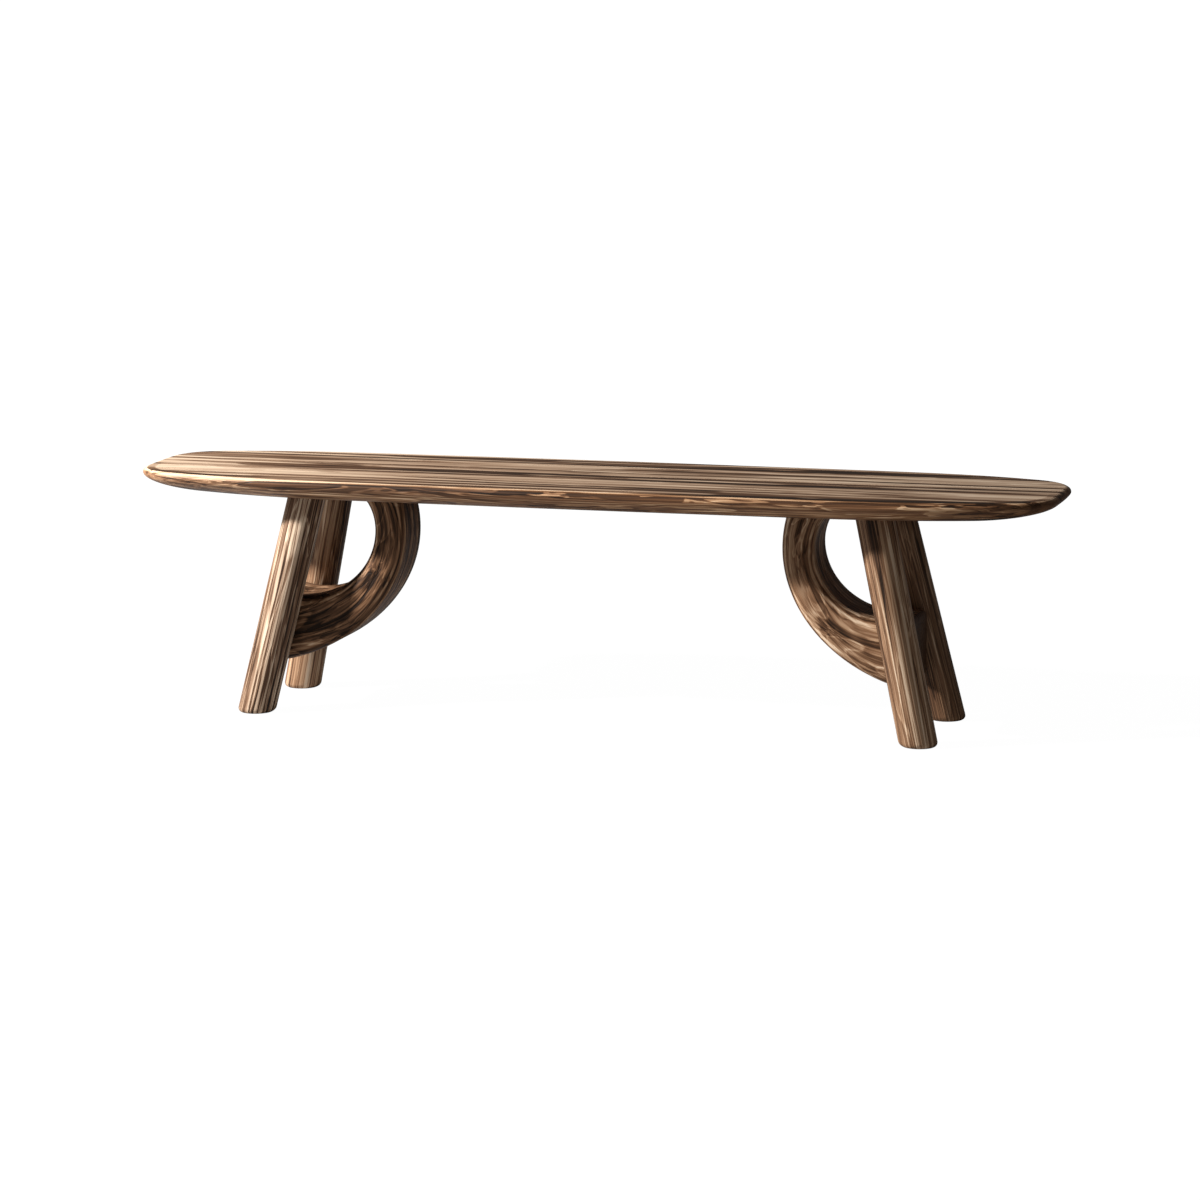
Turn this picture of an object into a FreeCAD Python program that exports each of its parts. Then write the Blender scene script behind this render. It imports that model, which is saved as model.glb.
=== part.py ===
import FreeCAD, Part
import math
import os

import Sketcher

# A long bench: a thick pebble-edged seat of five glued boards on four round splayed legs, with a
# curved horn-shaped brace at each end that grows out of the seat and ends between the two legs.
# Frame: +X along the bench, +Y to the back, +Z up, origin on the floor under the seat's centre.

DRIVING_SIZES = [
    # the seat
    ("seat_length", 1740),
    ("seat_width", 400),
    ("seat_height", 450),
    ("seat_thickness", 46),
    ("seat_widest_drop", 9),
    ("seat_top_inset", 11),
    ("seat_bottom_inset", 80),
    ("seat_end_undercut", 85),
    # the tangent arcs of the seat's plan
    ("corner_core_radius", 20),
    ("shoulder_radius", 950),
    # the boards that the seat is glued up from
    ("edge_board_narrowing", 10),
    ("seam_groove_width", 2.4),
    ("spline_end_setback", 220),
    ("spline_width", 20),
    ("spline_thickness", 6),
    ("spline_clearance", 0.1),
    # the legs
    ("leg_diameter", 70),
    ("leg_end_inset", 330),
    ("leg_top_spacing_y", 162),
    ("leg_splay_x", 92),
    ("leg_splay_y", 44),
    ("foot_rounding", 10),
    # the loose tenons that join each leg to the seat
    ("tenon_diameter", 32),
    ("tenon_in_seat", 26),
    ("tenon_in_leg", 46),
    ("tenon_chamfer", 2),
    ("peg_clearance", 0.15),
    ("peg_end_gap", 0.8),
    # the curved braces
    ("brace_end_height", 153),
    ("brace_drop", 183),
    ("brace_reach", 214),
    ("brace_past_leg", 8),
    ("brace_top_depth", 76),
    ("brace_waist_depth", 60),
    ("brace_end_depth", 134),
    ("brace_top_width", 112),
    ("brace_end_width", 156),
    ("brace_edge_radius", 22),
    ("brace_end_rounding", 15),
    ("brace_cope_clearance", 0.15),
    # the dowels at both ends of each brace
    ("dowel_diameter", 12),
    ("dowel_chamfer", 1),
    ("top_dowel_in_seat", 24),
    ("top_dowel_in_brace", 36),
    ("top_dowel_spacing", 30),
    ("cheek_dowel_in_leg", 34),
    ("cheek_dowel_in_brace", 34),
    ("cheek_dowel_spacing", 36),
    ("cheek_dowel_rise", 14),
    ("cheek_dowel_setback", 22),
    # how far every cutting tool runs past what it cuts
    ("overrun", 20),
]

# Headings, in degrees, at which the arcs of the seat's plan meet, from the end round to the side
DRIVING_ANGLES = [
    ("end_turn", 2.5),
    ("corner_turn", 73),
    ("shoulder_turn", 88.6),
]

# Stations, in degrees, up and down the two elliptical curves of the seat's edge. Neither curve runs
# on until it is level, so that the edge meets the flat faces at a slight angle.
TOP_EDGE_ANGLES = (80, 70, 58, 44, 28, 12)
BOTTOM_EDGE_ANGLES = (0, 3, 6, 9, 13, 17, 22, 29, 39, 53, 70)

BRACE_STATIONS = 9
BRACE_WAIST_SHARE = 0.25
BRACE_HEAD_SHARE = 0.12

SIDES = (("left", -1), ("right", 1))
ROWS = (("front", -1), ("back", 1))

doc = FreeCAD.newDocument("bench")

sheet = doc.addObject("Spreadsheet::Sheet", "Sizes")
for row_number, (alias, number) in enumerate(DRIVING_SIZES + DRIVING_ANGLES, start=1):
    sheet.set("A%d" % row_number, alias)
    sheet.set("B%d" % row_number, str(number))
    sheet.setAlias("B%d" % row_number, alias)
doc.recompute()


def size(alias):
    return float(sheet.get(alias))


def vector(x, y, z):
    return FreeCAD.Vector(x, y, z)


def make(kind, name, placement=None, **formulas):
    """Add an object whose sizes are formulas on the sheet's cells."""
    made = doc.addObject(kind, name)
    made.Label = name
    for prop, formula in formulas.items():
        made.setExpression(prop, formula)
    if placement is not None:
        made.Placement = placement
    return made


def make_box(name, length, width, height, x, y, z):
    """A box from its three sizes and its lowest corner, all given as formulas."""
    made = make("Part::Box", name, Length=length, Width=width, Height=height)
    for axis, formula in (("x", x), ("y", y), ("z", z)):
        made.setExpression(".Placement.Base." + axis, formula)
    return made


def cut_away(name, base, tools):
    """Cut a list of tools out of a base."""
    joined = tools[0]
    if len(tools) > 1:
        joined = doc.addObject("Part::MultiFuse", name + "_cutters")
        joined.Shapes = tools
    made = doc.addObject("Part::Cut", name)
    made.Label = name
    made.Base = base
    made.Tool = joined
    return made


def along(start, direction):
    """A placement at a point with its Z axis turned to a direction."""
    return FreeCAD.Placement(start, FreeCAD.Rotation(vector(0, 0, 1), direction))


# Places worked out from the driving sizes

underside = size("seat_height") - size("seat_thickness")


def leg_axis_point(side, row, height):
    """A point on a leg's axis at a height above the floor."""
    fall = (underside - height) / underside
    x = size("seat_length") / 2 - size("leg_end_inset") + size("leg_splay_x") * fall
    y = size("leg_top_spacing_y") / 2 + size("leg_splay_y") * fall
    return vector(side * x, row * y, height)


def leg_direction(side, row):
    """Unit vector up a leg's axis."""
    rise = leg_axis_point(side, row, underside) - leg_axis_point(side, row, 0)
    return rise.normalize()


brace_centre_x = leg_axis_point(1, 1, size("brace_end_height")).x + size("brace_past_leg")
brace_centre_z = size("brace_end_height") + size("brace_drop")


def brace_angle(height):
    """How far round its ellipse a brace's centreline is at a height above the floor."""
    return math.asin((brace_centre_z - height) / size("brace_drop"))


brace_head_angle = brace_angle(underside)


def brace_point(side, angle):
    """A point on a brace's centreline, which is part of an ellipse."""
    x = brace_centre_x - size("brace_reach") * math.cos(angle)
    z = brace_centre_z - size("brace_drop") * math.sin(angle)
    return vector(side * x, 0, z)


def brace_outward(side, angle):
    """Unit vector square to a brace's centreline, in its own plane, towards the hollow side."""
    run = vector(side * size("brace_reach") * math.sin(angle), 0, -size("brace_drop") * math.cos(angle))
    run.normalize()
    return vector(-run.z * side, 0, run.x * side)


# The seat

def plan_arcs(undercut):
    """Centres, radii and headings of the four tangent arcs in a quarter of an outline of the seat.

    They run from the middle of the end, which is drawn in by the undercut, to the middle of the
    side. The radii of the first and the last arc are the two that make the quarter long and wide
    enough.
    """
    turns = [0, math.radians(size("end_turn")), math.radians(size("corner_turn"))]
    turns += [math.radians(size("shoulder_turn")), math.pi / 2]
    corner = size("seat_bottom_inset") + size("corner_core_radius")
    shoulder = size("shoulder_radius")
    cosines = [math.cos(turn) for turn in turns]
    sines = [math.sin(turn) for turn in turns]
    along_left = size("seat_length") / 2 - undercut
    along_left -= corner * (cosines[1] - cosines[2]) + shoulder * (cosines[2] - cosines[3])
    across_left = size("seat_width") / 2
    across_left -= corner * (sines[2] - sines[1]) + shoulder * (sines[3] - sines[2])
    spread = (1 - cosines[1]) * (1 - sines[3]) - cosines[3] * sines[1]
    end_radius = (along_left * (1 - sines[3]) - across_left * cosines[3]) / spread
    side_radius = (across_left * (1 - cosines[1]) - along_left * sines[1]) / spread
    arcs = []
    x = size("seat_length") / 2 - undercut
    y = 0
    for number, radius in enumerate((end_radius, corner, shoulder, side_radius)):
        centre_x = x - radius * cosines[number]
        centre_y = y - radius * sines[number]
        x = centre_x + radius * cosines[number + 1]
        y = centre_y + radius * sines[number + 1]
        arcs.append((centre_x, centre_y, radius, turns[number], turns[number + 1]))
    return arcs


def outline_arc(centre_x, centre_y, radius, start, stop, height):
    points = []
    for turn in (start, (start + stop) / 2, stop):
        points.append(vector(
            centre_x + radius * math.cos(turn), centre_y + radius * math.sin(turn), height))
    return Part.Arc(*points).toShape()


def seat_outline(inset, undercut, height):
    """The seat's whole plan outline, drawn in by an inset all round and by an undercut at the ends."""
    end, corner, shoulder, side = plan_arcs(undercut)
    half_turn = math.pi
    edges = []
    for base, mirror in ((0, 1), (half_turn, -1)):
        # one half of the outline, from one end round to the other
        edges.append(outline_arc(
            mirror * end[0], 0, end[2] - inset, base - end[4], base + end[4], height))
        for arc in (corner, shoulder):
            edges.append(outline_arc(
                mirror * arc[0], mirror * arc[1], arc[2] - inset, base + arc[3], base + arc[4], height))
        edges.append(outline_arc(
            0, mirror * side[1], side[2] - inset, base + side[3], base + half_turn - side[3], height))
        for arc in (shoulder, corner):
            edges.append(outline_arc(
                -mirror * arc[0], mirror * arc[1], arc[2] - inset,
                base + half_turn - arc[4], base + half_turn - arc[3], height))
    return Part.Wire(edges)


def edge_shares(degrees, last_degrees):
    """How far in and how far up or down a station lies, as shares of the whole curve."""
    angle = math.radians(degrees)
    last = math.radians(last_degrees)
    return (1 - math.cos(angle)) / (1 - math.cos(last)), math.sin(angle) / math.sin(last)


def seat_edge_sections():
    """Outlines from the top face round the edge to the flat underside."""
    widest = size("seat_height") - size("seat_widest_drop")
    sections = []
    for degrees in TOP_EDGE_ANGLES:
        inset_share, rise_share = edge_shares(degrees, TOP_EDGE_ANGLES[0])
        inset = size("seat_top_inset") * inset_share
        sections.append(seat_outline(inset, 0, widest + size("seat_widest_drop") * rise_share))
    for degrees in BOTTOM_EDGE_ANGLES:
        inset_share, fall_share = edge_shares(degrees, BOTTOM_EDGE_ANGLES[-1])
        inset = size("seat_bottom_inset") * inset_share
        undercut = size("seat_end_undercut") * inset_share
        sections.append(seat_outline(inset, undercut, widest - (widest - underside) * fall_share))
    return sections


seat_blank = doc.addObject("Part::Feature", "seat_blank")
seat_blank.Shape = Part.makeLoft(seat_edge_sections(), True, True)

# Where each seam lies across the seat, in inner board widths from the middle
SEAM_SHARES = {"front": -1.5, "front_inner": -0.5, "back_inner": 0.5, "back": 1.5}

# Each board, with the seam on its front side and the one on its back side
BOARDS = (
    ("seat_board_front", None, "front"),
    ("seat_board_front_inner", "front", "front_inner"),
    ("seat_board_middle", "front_inner", "back_inner"),
    ("seat_board_back_inner", "back_inner", "back"),
    ("seat_board_back", "back", None),
)


def seam_place(seam):
    """Formula for a seam's place across the seat, whose two edge boards are the narrower ones."""
    return "%s * (Sizes.seat_width + 2 * Sizes.edge_board_narrowing) / %d" % (
        SEAM_SHARES[seam], len(BOARDS))


def make_seam_tools(seam):
    """The groove along the top of a seam and the slot that its spline lies in."""
    place = seam_place(seam)
    groove = make(
        "Part::Box", "seam_groove_" + seam,
        Length="Sizes.seat_length",
        Width="Sizes.seam_groove_width / sqrt(2)",
        Height="Sizes.seam_groove_width / sqrt(2)",
    )
    groove.Placement = FreeCAD.Placement(vector(0, 0, 0), FreeCAD.Rotation(vector(1, 0, 0), 45))
    groove.setExpression(".Placement.Base.x", "-Sizes.seat_length / 2")
    groove.setExpression(".Placement.Base.y", place)
    groove.setExpression(".Placement.Base.z", "Sizes.seat_height - Sizes.seam_groove_width / 2")
    slot = make_box(
        "spline_slot_" + seam,
        "Sizes.seat_length - 2 * Sizes.spline_end_setback + 2 * Sizes.spline_clearance",
        "Sizes.spline_width + 2 * Sizes.spline_clearance",
        "Sizes.spline_thickness + 2 * Sizes.spline_clearance",
        "-Sizes.seat_length / 2 + Sizes.spline_end_setback - Sizes.spline_clearance",
        place + " - Sizes.spline_width / 2 - Sizes.spline_clearance",
        "Sizes.seat_height - (Sizes.seat_thickness + Sizes.spline_thickness) / 2 - Sizes.spline_clearance",
    )
    return [groove, slot]


def make_spline(seam):
    """The thin strip glued into both boards of a seam."""
    return make_box(
        "seam_spline_" + seam,
        "Sizes.seat_length - 2 * Sizes.spline_end_setback",
        "Sizes.spline_width",
        "Sizes.spline_thickness",
        "-Sizes.seat_length / 2 + Sizes.spline_end_setback",
        seam_place(seam) + " - Sizes.spline_width / 2",
        "Sizes.seat_height - (Sizes.seat_thickness + Sizes.spline_thickness) / 2",
    )


# Pegs, which are the tenons and dowels

def origin_plane(body, role):
    for feature in body.Origin.OriginFeatures:
        if feature.Role == role:
            return feature
    raise ValueError("no origin plane " + role)


def make_peg(name, diameter, length, chamfer, placement):
    """A round peg with chamfered ends, along its own Z axis."""
    body = doc.addObject("PartDesign::Body", name)
    body.Label = name
    ring = body.newObject("Sketcher::SketchObject", name + "_circle")
    ring.AttachmentSupport = [(origin_plane(body, "XY_Plane"), "")]
    ring.MapMode = "FlatFace"
    ring.addGeometry(Part.Circle(vector(0, 0, 0), vector(0, 0, 1), size(diameter) / 2), False)
    ring.addConstraint(Sketcher.Constraint("Coincident", 0, 3, -1, 1))
    ring.addConstraint(Sketcher.Constraint("Diameter", 0, size(diameter)))
    ring.setExpression("Constraints[1]", "Sizes." + diameter)
    pad = body.newObject("PartDesign::Pad", name + "_pad")
    pad.Profile = ring
    pad.setExpression("Length", length)
    ring.Visibility = False
    doc.recompute()
    rims = []
    for number, edge in enumerate(pad.Shape.Edges, start=1):
        if isinstance(edge.Curve, Part.Circle):
            rims.append("Edge%d" % number)
    ends = body.newObject("PartDesign::Chamfer", name + "_chamfer")
    ends.Base = (pad, rims)
    ends.setExpression("Size", "Sizes." + chamfer)
    body.Tip = ends
    body.Placement = placement
    return body


def make_peg_hole(name, diameter, reach_formula, placement):
    """The hole that a peg fits in, from its mouth down its own Z axis."""
    return make(
        "Part::Cylinder", name, placement,
        Radius="Sizes.%s / 2 + Sizes.peg_clearance" % diameter,
        Height=reach_formula,
    )


def group(name, members):
    made = doc.addObject("Part::Compound", name)
    made.Label = name
    made.Links = members
    return made


# The legs and their tenons

def make_leg_stock(name, side, row, radius_formula):
    """A plain round bar on a leg's axis, past the floor and the underside."""
    low = leg_axis_point(side, row, 0) - leg_direction(side, row) * 2 * size("overrun")
    high = leg_axis_point(side, row, underside)
    length = (high - low).Length + 2 * size("overrun")
    stock = make("Part::Cylinder", name, along(low, leg_direction(side, row)), Radius=radius_formula)
    stock.Height = length
    return stock


def make_tenon_tools(name, side, row):
    """The one hole of a tenon, which runs into both the leg and the seat."""
    mouth = leg_axis_point(side, row, underside)
    start = mouth - leg_direction(side, row) * (size("tenon_in_leg") + size("peg_end_gap"))
    return make_peg_hole(
        name, "tenon_diameter",
        "Sizes.tenon_in_leg + Sizes.tenon_in_seat + 2 * Sizes.peg_end_gap",
        along(start, leg_direction(side, row)),
    )


def make_tenon(name, side, row):
    start = leg_axis_point(side, row, underside) - leg_direction(side, row) * size("tenon_in_leg")
    return make_peg(
        name, "tenon_diameter", "Sizes.tenon_in_leg + Sizes.tenon_in_seat", "tenon_chamfer",
        along(start, leg_direction(side, row)),
    )


def make_leg_blank(name, side, row):
    """The bar cut level with the floor and trimmed to the seat, with its foot rounded."""
    stock = make_leg_stock(name + "_stock", side, row, "Sizes.leg_diameter / 2")
    room = make_box(
        name + "_room",
        "Sizes.seat_length", "Sizes.seat_length", "Sizes.seat_height - Sizes.seat_widest_drop",
        "-Sizes.seat_length / 2", "-Sizes.seat_length / 2", "0",
    )
    level = doc.addObject("Part::Common", name + "_level")
    level.Base = stock
    level.Tool = room
    trimmed = cut_away(name + "_trimmed", level, [seat_blank])
    doc.recompute()
    foot_edges = []
    for number, edge in enumerate(trimmed.Shape.Edges, start=1):
        if edge.BoundBox.ZMax < size("foot_rounding") / 2:
            foot_edges.append((number, size("foot_rounding"), size("foot_rounding")))
    rounded = doc.addObject("Part::Fillet", name + "_rounded")
    rounded.Base = trimmed
    rounded.Edges = foot_edges
    return rounded


# The braces and their dowels

def brace_section(side, share, angle):
    """A rounded rectangle square to the centreline."""
    if share < BRACE_WAIST_SHARE:
        flare = ((BRACE_WAIST_SHARE - share) / BRACE_WAIST_SHARE) ** 2
        depth = size("brace_waist_depth") + flare * (size("brace_top_depth") - size("brace_waist_depth"))
    else:
        flare = ((share - BRACE_WAIST_SHARE) / (1 - BRACE_WAIST_SHARE)) ** 2
        depth = size("brace_waist_depth") + flare * (size("brace_end_depth") - size("brace_waist_depth"))
    width = size("brace_top_width") + share * (size("brace_end_width") - size("brace_top_width"))
    radius = size("brace_edge_radius")
    flat_x = depth / 2 - radius
    flat_y = width / 2 - radius
    edges = []
    corners = ((1, 1), (-1, 1), (-1, -1), (1, -1))
    for number, (toward_x, toward_y) in enumerate(corners):
        quarter = math.pi / 2
        centre = vector(toward_x * flat_x, toward_y * flat_y, 0)
        start = quarter * number
        arc_points = []
        for turn in (start, start + quarter / 2, start + quarter):
            arc_points.append(centre + vector(radius * math.cos(turn), radius * math.sin(turn), 0))
        edges.append(Part.Arc(*arc_points).toShape())
        next_x, next_y = corners[(number + 1) % len(corners)]
        next_centre = vector(next_x * flat_x, next_y * flat_y, 0)
        next_start = start + quarter
        line_end = next_centre + vector(radius * math.cos(next_start), radius * math.sin(next_start), 0)
        edges.append(Part.LineSegment(arc_points[-1], line_end).toShape())
    wire = Part.Wire(edges)
    outward = brace_outward(side, angle)
    across = vector(0, 1, 0)
    wire.Placement = FreeCAD.Placement(
        brace_point(side, angle), FreeCAD.Rotation(outward, across, outward.cross(across)))
    return wire


def make_brace_blank(name, side):
    """The horn lofted along its centreline, with its lower end rounded."""
    sections = []
    for station in range(BRACE_STATIONS):
        part_way = station / (BRACE_STATIONS - 1)
        share = -BRACE_HEAD_SHARE + (1 + BRACE_HEAD_SHARE) * part_way
        angle = brace_head_angle + share * (math.pi / 2 - brace_head_angle)
        sections.append(brace_section(side, share, angle))
    horn = Part.makeLoft(sections, True, False)
    end_edges = []
    for edge in horn.Edges:
        at_end = max(abs(abs(vertex.X) - brace_centre_x) for vertex in edge.Vertexes)
        if at_end < size("brace_cope_clearance"):
            end_edges.append(edge)
    blank = doc.addObject("Part::Feature", name + "_blank")
    blank.Shape = horn.makeFillet(size("brace_end_rounding"), end_edges)
    return blank


def make_brace(side_name, side):
    """The blank cut level under the seat, coped to both legs and bored for its dowels."""
    name = "brace_" + side_name
    tools = [head_cutter]
    for row_name, row in ROWS:
        cope = "Sizes.leg_diameter / 2 + Sizes.brace_cope_clearance"
        tools.append(make_leg_stock("%s_cope_%s" % (name, row_name), side, row, cope))
    tools += top_dowel_holes[side_name]
    tools += cheek_dowel_holes[side_name, "front"] + cheek_dowel_holes[side_name, "back"]
    return cut_away(name, make_brace_blank(name, side), tools)


def top_dowel_starts(side):
    """Lowest points of the two upright dowels in a brace's head.

    The head leans, so they stand either side of its middle at half their depth.
    """
    middle = brace_point(side, brace_angle(underside - size("top_dowel_in_brace") / 2))
    starts = []
    for step in (-1, 1):
        x = middle.x + step * size("top_dowel_spacing") / 2
        starts.append(vector(x, 0, underside - size("top_dowel_in_brace")))
    return starts


def make_top_dowels(side_name, side):
    name = "brace_top_dowels_" + side_name
    up = vector(0, 0, 1)
    length = "Sizes.top_dowel_in_brace + Sizes.top_dowel_in_seat"
    dowels = []
    for number, start in enumerate(top_dowel_starts(side), start=1):
        dowels.append(make_peg(
            "%s_%d" % (name, number), "dowel_diameter", length, "dowel_chamfer", along(start, up)))
    return group(name, dowels)


def make_top_dowel_holes(side_name, side):
    up = vector(0, 0, 1)
    length = "Sizes.top_dowel_in_brace + Sizes.top_dowel_in_seat + 2 * Sizes.peg_end_gap"
    holes = []
    for number, start in enumerate(top_dowel_starts(side), start=1):
        holes.append(make_peg_hole(
            "brace_top_hole_%s_%d" % (side_name, number), "dowel_diameter", length,
            along(start - up * size("peg_end_gap"), up)))
    return holes


def cheek_dowel_starts(side, row):
    """Inner ends of the two level dowels that run from a brace's cheek into a leg."""
    x = brace_centre_x - size("cheek_dowel_setback")
    cheek = size("brace_end_width") / 2
    starts = []
    for step in (-1, 1):
        height = size("brace_end_height") + size("cheek_dowel_rise") + step * size("cheek_dowel_spacing") / 2
        starts.append(vector(side * x, row * (cheek - size("cheek_dowel_in_brace")), height))
    return starts


def make_cheek_dowels(side_name, side, row_name, row):
    name = "brace_leg_dowels_%s_%s" % (row_name, side_name)
    length = "Sizes.cheek_dowel_in_brace + Sizes.cheek_dowel_in_leg"
    dowels = []
    for number, start in enumerate(cheek_dowel_starts(side, row), start=1):
        dowels.append(make_peg(
            "%s_%d" % (name, number), "dowel_diameter", length, "dowel_chamfer",
            along(start, vector(0, row, 0))))
    return group(name, dowels)


def make_cheek_dowel_holes(side_name, side, row_name, row):
    length = "Sizes.cheek_dowel_in_brace + Sizes.cheek_dowel_in_leg + 2 * Sizes.peg_end_gap"
    holes = []
    for number, start in enumerate(cheek_dowel_starts(side, row), start=1):
        mouth = start - vector(0, row * size("peg_end_gap"), 0)
        holes.append(make_peg_hole(
            "brace_leg_hole_%s_%s_%d" % (row_name, side_name, number), "dowel_diameter", length,
            along(mouth, vector(0, row, 0))))
    return holes


# Every cutter that more than one piece uses

seam_tools = {}
for seam in SEAM_SHARES:
    seam_tools[seam] = make_seam_tools(seam)

head_cutter = make_box(
    "head_cutter",
    "Sizes.seat_length", "Sizes.seat_width", "Sizes.seat_height",
    "-Sizes.seat_length / 2", "-Sizes.seat_width / 2", "Sizes.seat_height - Sizes.seat_thickness",
)

tenon_holes = {}
top_dowel_holes = {}
cheek_dowel_holes = {}
for side_name, side in SIDES:
    top_dowel_holes[side_name] = make_top_dowel_holes(side_name, side)
    for row_name, row in ROWS:
        place_name = "%s_%s" % (row_name, side_name)
        tenon_holes[side_name, row_name] = make_tenon_tools("tenon_hole_" + place_name, side, row)
        cheek_dowel_holes[side_name, row_name] = make_cheek_dowel_holes(side_name, side, row_name, row)


# The pieces that are kept, each under the name of its file

def make_board(name, front_seam, back_seam):
    """One board of the seat, with its grooves, spline slots and mortises."""
    low = seam_place(front_seam) if front_seam else "-Sizes.seat_width / 2"
    high = seam_place(back_seam) if back_seam else "Sizes.seat_width / 2"
    strip = make_box(
        name + "_strip",
        "Sizes.seat_length", "%s - (%s)" % (high, low), "Sizes.seat_height",
        "-Sizes.seat_length / 2", low, "0",
    )
    plain = doc.addObject("Part::Common", name + "_plain")
    plain.Base = seat_blank
    plain.Tool = strip
    doc.recompute()
    tools = []
    for seam in (front_seam, back_seam):
        if seam is not None:
            tools += seam_tools[seam]
    bores = list(tenon_holes.values())
    for holes in top_dowel_holes.values():
        bores += holes
    for bore in bores:
        if bore.Shape.common(plain.Shape).Volume > 0:
            tools.append(bore)
    return cut_away(name, plain, tools)


def make_leg(side_name, side, row_name, row):
    name = "leg_%s_%s" % (row_name, side_name)
    tools = [tenon_holes[side_name, row_name]] + cheek_dowel_holes[side_name, row_name]
    return cut_away(name, make_leg_blank(name, side, row), tools)


doc.recompute()
pieces = []
for name, front_seam, back_seam in BOARDS:
    pieces.append(make_board(name, front_seam, back_seam))
for seam in SEAM_SHARES:
    pieces.append(make_spline(seam))
for side_name, side in SIDES:
    pieces.append(make_brace(side_name, side))
    pieces.append(make_top_dowels(side_name, side))
    for row_name, row in ROWS:
        pieces.append(make_leg(side_name, side, row_name, row))
        pieces.append(make_tenon("leg_tenon_%s_%s" % (row_name, side_name), side, row))
        pieces.append(make_cheek_dowels(side_name, side, row_name, row))
doc.recompute()


# Every object and every piece is looked at before anything is written

for made in doc.Objects:
    if "Invalid" in made.State or "Error" in made.State:
        raise RuntimeError("%s is left in the state %s" % (made.Name, made.State))
for piece in pieces:
    if piece.Shape.isNull() or not piece.Shape.isValid() or piece.Shape.Volume <= 0:
        raise RuntimeError(piece.Label + " has no valid shape")

os.makedirs("parts", exist_ok=True)
for piece in pieces:
    piece.Shape.exportStep("parts/%s.step" % piece.Label)
    box = piece.Shape.BoundBox
    print("%-32s solids %d  volume %10.0f  x %7.1f %7.1f  y %6.1f %6.1f  z %6.1f %6.1f" % (
        piece.Label, len(piece.Shape.Solids), piece.Shape.Volume,
        box.XMin, box.XMax, box.YMin, box.YMax, box.ZMin, box.ZMax))
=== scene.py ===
import math

import bmesh
import bpy
import numpy as np
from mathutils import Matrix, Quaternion, Vector, noise


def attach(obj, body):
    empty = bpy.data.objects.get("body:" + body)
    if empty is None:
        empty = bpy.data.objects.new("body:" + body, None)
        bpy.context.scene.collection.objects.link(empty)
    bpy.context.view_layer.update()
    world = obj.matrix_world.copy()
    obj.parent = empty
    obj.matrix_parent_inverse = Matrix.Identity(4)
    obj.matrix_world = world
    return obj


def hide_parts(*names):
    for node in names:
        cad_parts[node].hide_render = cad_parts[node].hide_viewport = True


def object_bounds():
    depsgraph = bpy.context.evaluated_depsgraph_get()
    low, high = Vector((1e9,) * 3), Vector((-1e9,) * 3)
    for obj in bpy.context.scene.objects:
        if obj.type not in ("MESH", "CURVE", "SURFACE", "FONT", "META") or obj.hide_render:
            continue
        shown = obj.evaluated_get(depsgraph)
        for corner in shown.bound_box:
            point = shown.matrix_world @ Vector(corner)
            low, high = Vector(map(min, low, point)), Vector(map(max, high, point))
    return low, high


bl_info = {
    "name": "Long Bench",
    "version": (1, 0, 0),
    "blender": (4, 5, 0),
    "location": "View3D > Sidebar > Bench",
    "description": "A long bench with a pebble-edged seat, four splayed legs and two curved braces",
    "category": "Add Mesh",
}

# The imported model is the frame: metres, +X along the bench, +Y to the back, +Z up.
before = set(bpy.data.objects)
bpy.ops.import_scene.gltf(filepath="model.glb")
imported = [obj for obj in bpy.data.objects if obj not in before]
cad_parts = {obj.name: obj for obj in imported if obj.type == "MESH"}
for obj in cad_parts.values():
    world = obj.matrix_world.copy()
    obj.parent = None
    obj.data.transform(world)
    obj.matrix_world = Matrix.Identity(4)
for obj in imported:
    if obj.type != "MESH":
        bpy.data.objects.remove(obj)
cad_low, cad_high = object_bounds()

# Each piece has a shift that gives it a grain of its own, and a tone that makes it paler or darker.
# The boards, from the front to the back
BOARDS = (
    ("front", (0.31, 0.117, 0.04), 0.0),
    ("front_inner", (1.93, -0.061, 0.22), 0.03),
    ("middle", (3.37, 0.209, -0.13), -0.03),
    ("back_inner", (5.21, -0.173, 0.09), 0.04),
    ("back", (7.05, 0.083, -0.27), -0.02),
)

# The legs, with their side and row
LEGS = (
    ("front_left", -1, -1, (0.9, 0.15, 0.31), 0.03),
    ("back_left", -1, 1, (2.1, 0.26, -0.07), 0.06),
    ("front_right", 1, -1, (4.4, -0.17, 0.23), 0.12),
    ("back_right", 1, 1, (6.3, 0.34, 0.02), -0.08),
)

# The braces, with their side
BRACES = (
    ("left", -1, (1.15, 0.31, -0.22), -0.05),
    ("right", 1, (3.85, -0.28, 0.14), 0.19),
)

GRAIN = "grain"
RIM = "rim"
TONE = "tone"
END = "end"

# The knots: which brace each is on, its place from the middle of the brace's head, and its size
KNOTS = (
    (0, (0.20, 0.005, 0.06), 0.020),
    (1, (0.27, -0.008, -0.065), 0.026),
)

# From seam to seam
SEAM_PITCH = 0.084

# How far inside the top face the colour of its edge reaches
EDGE_REACH = 0.04

# How far the top of a leg is hidden in the seat
TUCK = 0.006

# How far down its curve a brace is slimmest
WAIST_SHARE = 0.25

# The rings of the seat: across the top face, round the edge up to its widest line and down from it,
# and across the underside. They lie closer together towards the edge of the top face.
TOP_RINGS = 34
RISE_RINGS = 10
FALL_RINGS = 22
UNDER_RINGS = 12
RING_CROWDING = 1.15

# How far the two curves of the edge turn, in degrees, before they meet the faces
RISE_DEGREES = 80
FALL_DEGREES = 70

# The innermost ring's ends, from the seat's tips, as a share of its width
SPINE_SHARE = 0.3

# Faces around and along each bar
LEG_MESH = (112, 150)
BRACE_MESH = (144, 190)

# The angle, in degrees, from which an edge is drawn sharp
BOARD_SHARP = 40
BAR_SHARP = 50

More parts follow.
